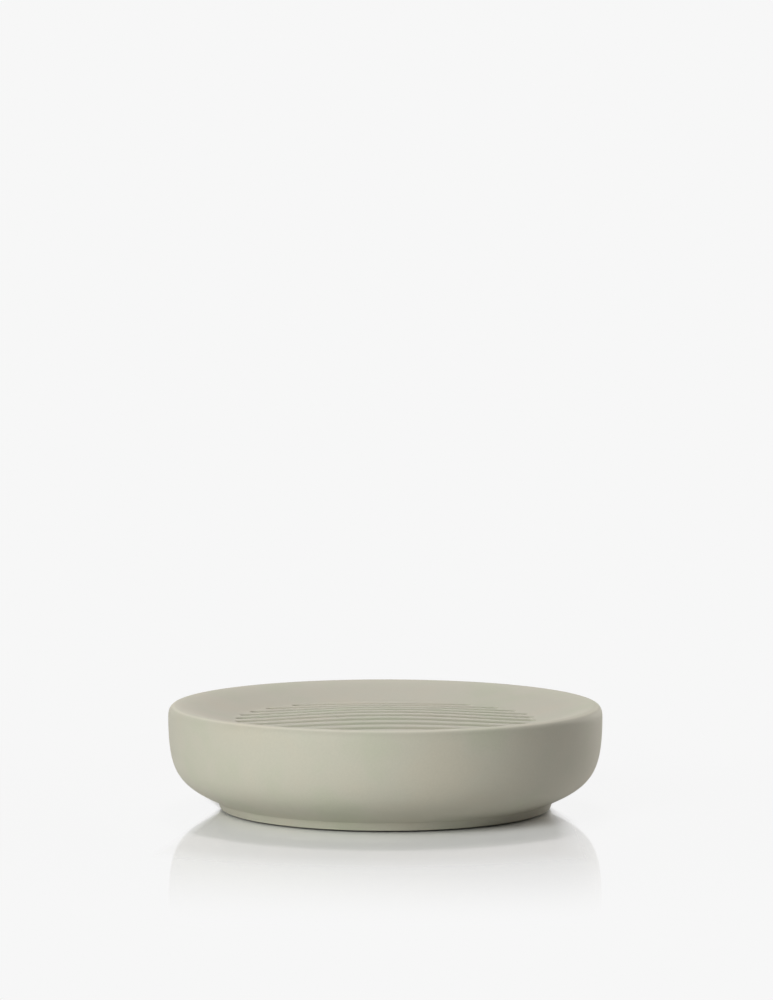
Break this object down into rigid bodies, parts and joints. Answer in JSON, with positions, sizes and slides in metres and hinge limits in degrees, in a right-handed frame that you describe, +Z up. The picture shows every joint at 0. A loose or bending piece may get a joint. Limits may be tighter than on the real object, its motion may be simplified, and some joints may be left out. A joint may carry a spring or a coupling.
{
  "type": "soap dish",
  "caption": "Low round matte stoneware soap dish with a turned wall, a shallow well, a gently domed floor with straight parallel grooves, and soft pads under its foot ring",
  "frame": {"origin": "on the surface that the dish stands on, at the middle of the dish", "axes": "+Z is up, +X runs along the grooves, +Y runs across them"},
  "size_m": [0.12, 0.12, 0.029],
  "materials": {
    "stoneware": "matte, soft to the touch",
    "plug_silicone": "satin silicone",
    "pad_silicone": "satin silicone"
  },
  "bodies": {
    "root": {"dish_body": "stoneware", "vent_plug": "plug_silicone", "anti_slip_pad_1": "pad_silicone", "anti_slip_pad_2": "pad_silicone", "anti_slip_pad_3": "pad_silicone", "anti_slip_pad_4": "pad_silicone"}
  },
  "joints": []
}
